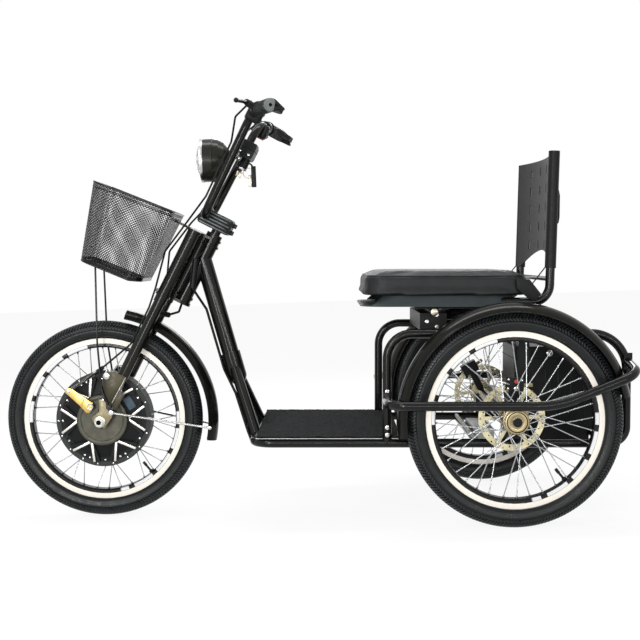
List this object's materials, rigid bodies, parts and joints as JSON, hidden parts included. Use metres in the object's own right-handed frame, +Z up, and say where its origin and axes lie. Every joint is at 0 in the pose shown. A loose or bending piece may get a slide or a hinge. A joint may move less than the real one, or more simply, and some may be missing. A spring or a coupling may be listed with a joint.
{
  "type": "electric tricycle",
  "caption": "Electric tricycle with a steered hub-motor front wheel, low foot deck, bench seat with slotted backrest, side guards and a basket.",
  "frame": {"origin": "on the ground at mid length and mid width", "axes": "+Z up, the front points to -X, the vehicle's left is -Y"},
  "size_m": [1.5796, 0.748, 1.048],
  "materials": {
    "frame_paint": "gloss",
    "guard_paint": "gloss",
    "mudguard_paint": "gloss",
    "steel_sheet": "brushed",
    "mat_carpet": "ribbed",
    "black_case": "satin",
    "alloy_case": "cast",
    "black_alloy": "satin",
    "black_bracket": "satin",
    "pan_plastic": "satin",
    "seat_leather": "soft",
    "seat_tube": "gloss",
    "panel_paint": "satin",
    "fork_steel": "gloss",
    "fork_paint": "gloss",
    "clamp_alloy": "cast",
    "bar_black": "gloss",
    "grip_rubber": "soft",
    "lever_black": "satin",
    "dash_plastic": "moulded",
    "lamp_shell": "gloss",
    "lamp_lens": "clear",
    "basket_wire": "satin",
    "stay_wire": "gloss",
    "drum_alloy": "cast",
    "cable_black": "soft",
    "tyre": "matt",
    "rim_silver": "satin",
    "motor_black": "satin",
    "disc_steel": "brushed"
  },
  "bodies": {
    "frame": {"main_frame": "frame_paint", "side_loop_left": "frame_paint", "side_loop_right": "frame_paint", "cross_tubes": "frame_paint", "floor_plate": "steel_sheet", "floor_mat": "mat_carpet", "bumper_left": "guard_paint", "bumper_right": "guard_paint", "rear_axle": "frame_paint", "battery_box": "black_case", "controller_box": "alloy_case", "rear_mudguard_left": "mudguard_paint", "rear_mudguard_right": "mudguard_paint", "brake_calipers": "black_alloy", "seat_bracket": "black_bracket", "seat_pan": "pan_plastic", "seat_cushion": "seat_leather", "backrest_frame": "seat_tube", "backrest_panel": "panel_paint", "frame_cables": "cable_black"},
    "steering": {"fork_crowns": "fork_steel", "fork_leg_left": "fork_paint", "fork_leg_right": "fork_paint", "handlebar_clamp": "clamp_alloy", "handlebar": "bar_black", "grip_left": "grip_rubber", "grip_right": "grip_rubber", "brake_levers": "lever_black", "ignition_box": "dash_plastic", "headlight_shell": "lamp_shell", "headlight_lens": "lamp_lens", "basket": "basket_wire", "basket_stays": "stay_wire", "front_mudguard": "mudguard_paint", "front_brake": "drum_alloy", "steering_cables": "cable_black"},
    "front_wheel": {"front_tyre": "tyre", "front_rim": "rim_silver", "hub_motor": "motor_black"},
    "rear_wheel_left": {"rear_tyre_left": "tyre", "rear_rim_left": "rim_silver", "brake_disc_left": "disc_steel"},
    "rear_wheel_right": {"rear_tyre_right": "tyre", "rear_rim_right": "rim_silver", "brake_disc_right": "disc_steel"}
  },
  "joints": [
    {"name": "steering_turn", "type": "hinge", "parent": "frame", "child": "steering", "pos_m": [-0.49386, 0, 0.23587], "axis": [0.4802, 0, 0.8771], "range_deg": [-40, 40]},
    {"name": "front_wheel_spin", "type": "hinge", "parent": "steering", "child": "front_wheel", "pos_m": [-0.53246, 0, 0.257], "axis": [0, 1, 0], "continuous": true},
    {"name": "rear_wheel_left_spin", "type": "hinge", "parent": "frame", "child": "rear_wheel_left", "pos_m": [0.49554, -0.3, 0.257], "axis": [0, 1, 0], "continuous": true},
    {"name": "rear_wheel_right_spin", "type": "hinge", "parent": "frame", "child": "rear_wheel_right", "pos_m": [0.49554, 0.3, 0.257], "axis": [0, 1, 0], "continuous": true}
  ]
}
